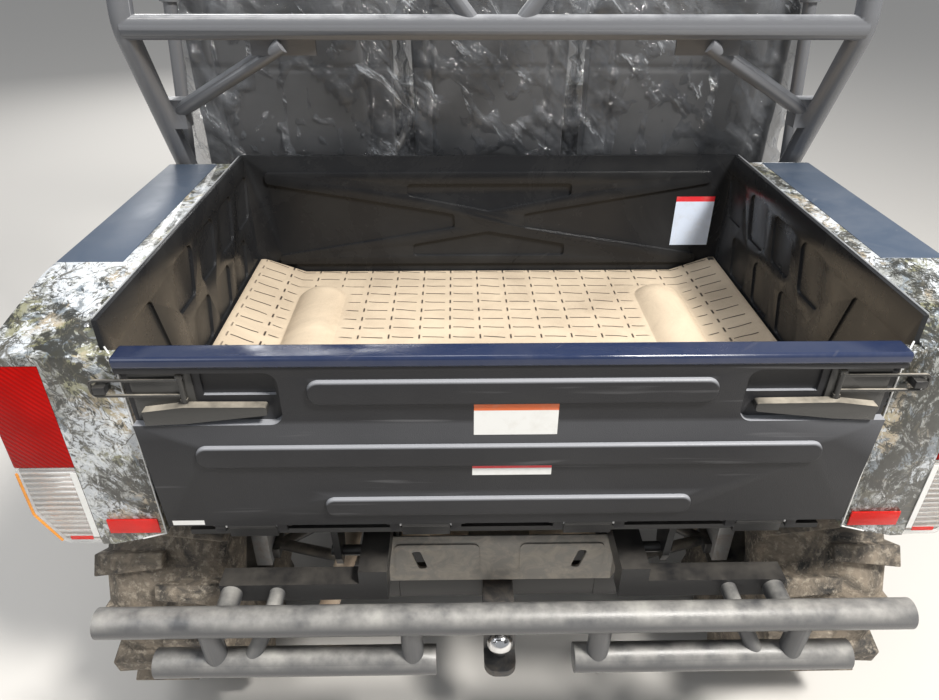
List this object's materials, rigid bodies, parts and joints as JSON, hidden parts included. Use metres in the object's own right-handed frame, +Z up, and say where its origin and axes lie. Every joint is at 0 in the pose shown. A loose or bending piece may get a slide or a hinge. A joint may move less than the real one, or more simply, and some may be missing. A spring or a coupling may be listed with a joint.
{
  "type": "side by side utility vehicle with three seats and a tilting cargo bed",
  "caption": "Utility side by side with tilting cargo bed, drop tailgate, open tube cage, bench seats, steered front wheels and opening hood.",
  "frame": {"origin": "on the ground, at the middle of the overall length and width", "axes": "+Y forward to the vehicle's nose, +X to the vehicle's right, +Z up"},
  "size_m": [1.54, 2.9106, 1.96],
  "materials": {
    "tyre": "matte",
    "wheel_rim": "satin",
    "frame_steel": "satin",
    "cage_steel": "satin",
    "bumper_steel": "satin",
    "hitch_steel": "satin",
    "engine_casting": "matte",
    "exhaust_steel": "matte",
    "shield_steel": "matte",
    "floor_plastic": "matte",
    "camo_body": "satin",
    "black_plastic": "matte",
    "upholstery": "matte",
    "lamp_glass": "gloss",
    "lamp_red": "gloss",
    "lamp_clear": "gloss",
    "reflector_red": "gloss",
    "bed_plastic": "satin",
    "mat_rubber": "matte",
    "gate_plastic": "matte",
    "gate_trim": "gloss",
    "radiator_core": "matte",
    "suspension_steel": "satin",
    "steering_grip": "matte"
  },
  "bodies": {
    "root": {"cage_braces": "cage_steel", "chassis_frame": "frame_steel", "cross_members": "frame_steel", "dampers": "suspension_steel", "dash_panel": "black_plastic", "engine_block": "engine_casting", "exhaust": "exhaust_steel", "final_drive": "engine_casting", "floor_tray": "floor_plastic", "front_bumper": "bumper_steel", "front_fascia": "camo_body", "front_fenders": "camo_body", "front_subframe": "frame_steel", "grille": "black_plastic", "headlamps": "lamp_glass", "hitch": "hitch_steel", "hood_bin": "black_plastic", "muffler_shield": "shield_steel", "radiator": "radiator_core", "rear_bumper": "bumper_steel", "rear_knuckles": "suspension_steel", "rear_quarters": "camo_body", "rear_subframe": "frame_steel", "roll_cage": "cage_steel", "seat_backs": "upholstery", "seat_base": "black_plastic", "seat_cushions": "upholstery", "side_sills": "black_plastic", "steering_column": "suspension_steel", "steering_rack": "suspension_steel", "suspension_arms": "suspension_steel"},
    "bed": {"bed_tub": "bed_plastic", "bed_mat": "mat_rubber", "bed_frame": "frame_steel", "bed_sides": "camo_body", "rail_caps": "gate_trim", "tail_lamps_red": "lamp_red", "tail_lamps_clear": "lamp_clear", "rear_reflectors": "reflector_red", "tailgate_hinges": "frame_steel", "latch_pegs": "frame_steel"},
    "tailgate": {"tailgate_panel": "gate_plastic", "tailgate_cap": "gate_trim", "latches": "frame_steel"},
    "hood": {"hood_lid": "camo_body"},
    "steering_wheel": {"steering_wheel": "steering_grip"},
    "knuckle_left": {"knuckle_left": "suspension_steel"},
    "knuckle_right": {"knuckle_right": "suspension_steel"},
    "tie_rod_left": {"tie_rod_left": "suspension_steel"},
    "tie_rod_right": {"tie_rod_right": "suspension_steel"},
    "wheel_front_left": {"tyre_front_left": "tyre", "rim_front_left": "wheel_rim"},
    "wheel_front_right": {"tyre_front_right": "tyre", "rim_front_right": "wheel_rim"},
    "wheel_rear_left": {"tyre_rear_left": "tyre", "rim_rear_left": "wheel_rim"},
    "wheel_rear_right": {"tyre_rear_right": "tyre", "rim_rear_right": "wheel_rim"}
  },
  "joints": [
    {"name": "bed_tilt", "type": "hinge", "parent": "root", "child": "bed", "pos_m": [0, -1.28, 0.54], "axis": [1, 0, 0], "range_deg": [0, 40]},
    {"name": "tailgate_hinge", "type": "hinge", "parent": "bed", "child": "tailgate", "pos_m": [0, -1.3545, 0.684], "axis": [-1, 0, 0], "range_deg": [-90, 0]},
    {"name": "hood_hinge", "type": "hinge", "parent": "root", "child": "hood", "pos_m": [0, 0.675, 0.95], "axis": [1, 0, 0], "range_deg": [0, 60]},
    {"name": "steer_left", "type": "hinge", "parent": "root", "child": "knuckle_left", "pos_m": [-0.585, 0.916, 0.3175], "axis": [0, 0, 1], "range_deg": [-28, 28]},
    {"name": "steer_right", "type": "hinge", "parent": "root", "child": "knuckle_right", "pos_m": [0.585, 0.916, 0.3175], "axis": [0, 0, 1], "range_deg": [-28, 28]},
    {"name": "steering_wheel_turn", "type": "hinge", "parent": "root", "child": "steering_wheel", "pos_m": [-0.42, 0.235, 0.96], "axis": [0, -0.788, 0.6157], "range_deg": [-252, 252]},
    {"name": "tie_rod_turn_left", "type": "hinge", "parent": "knuckle_left", "child": "tie_rod_left", "pos_m": [-0.585, 0.833, 0.24], "axis": [0, 0, 1], "range_deg": [-28, 28]},
    {"name": "tie_rod_turn_right", "type": "hinge", "parent": "knuckle_right", "child": "tie_rod_right", "pos_m": [0.585, 0.833, 0.24], "axis": [0, 0, 1], "range_deg": [-28, 28]},
    {"name": "wheel_spin_front_left", "type": "hinge", "parent": "knuckle_left", "child": "wheel_front_left", "pos_m": [-0.66, 0.916, 0.3175], "axis": [-1, 0, 0], "continuous": true},
    {"name": "wheel_spin_front_right", "type": "hinge", "parent": "knuckle_right", "child": "wheel_front_right", "pos_m": [0.66, 0.916, 0.3175], "axis": [-1, 0, 0], "continuous": true},
    {"name": "wheel_spin_rear_left", "type": "hinge", "parent": "root", "child": "wheel_rear_left", "pos_m": [-0.643, -1.004, 0.3175], "axis": [-1, 0, 0], "continuous": true},
    {"name": "wheel_spin_rear_right", "type": "hinge", "parent": "root", "child": "wheel_rear_right", "pos_m": [0.643, -1.004, 0.3175], "axis": [-1, 0, 0], "continuous": true}
  ],
  "couplings": [
    {"joint": "steer_right", "follows": "steer_left", "ratio": 1},
    {"joint": "steering_wheel_turn", "follows": "steer_left", "ratio": 9},
    {"joint": "tie_rod_turn_left", "follows": "steer_left", "ratio": -1},
    {"joint": "tie_rod_turn_right", "follows": "steer_left", "ratio": -1}
  ]
}
